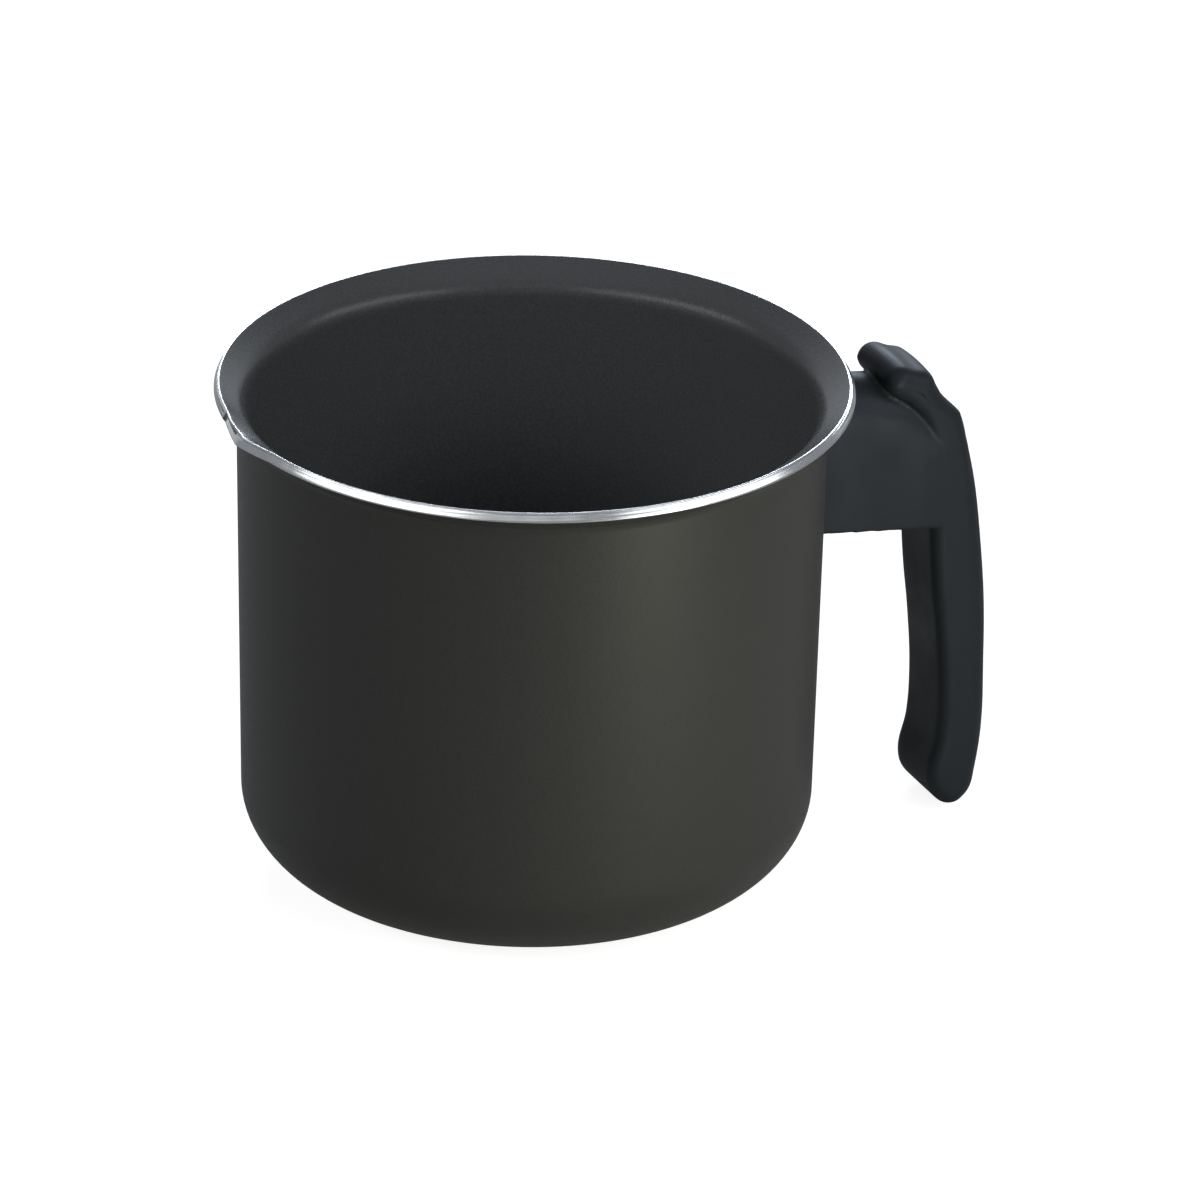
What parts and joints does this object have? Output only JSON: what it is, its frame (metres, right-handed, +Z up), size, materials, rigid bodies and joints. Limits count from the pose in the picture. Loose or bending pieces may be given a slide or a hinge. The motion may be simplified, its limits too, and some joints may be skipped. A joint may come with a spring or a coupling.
{
  "type": "milk boiler",
  "caption": "Tall round milk boiler with a flared bare rim, a small pressed pouring lip, rounded base corner and a moulded drop handle with a thumb rest.",
  "frame": {"origin": "middle of the flat base's underside", "axes": "+Z up along the pot's axis; +X towards the handle; the pouring lip is at -X; the object is the same on both sides of the XZ plane"},
  "size_m": [0.1991, 0.1568, 0.1297],
  "materials": {
    "coated_aluminium": "drawn aluminium with a black baked coating inside and out, satin; the trimmed rim edge and the base are bare turned metal",
    "bare_aluminium": "bare turned aluminium",
    "black_phenolic": "black phenolic moulding, satin with a fine mould texture",
    "zinc_plated_steel": "bright zinc plating"
  },
  "bodies": {
    "root": {"pot_body": "coated_aluminium", "weld_stud": "bare_aluminium", "handle": "black_phenolic", "flat_washer": "zinc_plated_steel", "spring_washer": "zinc_plated_steel", "handle_screw": "zinc_plated_steel"}
  },
  "joints": []
}
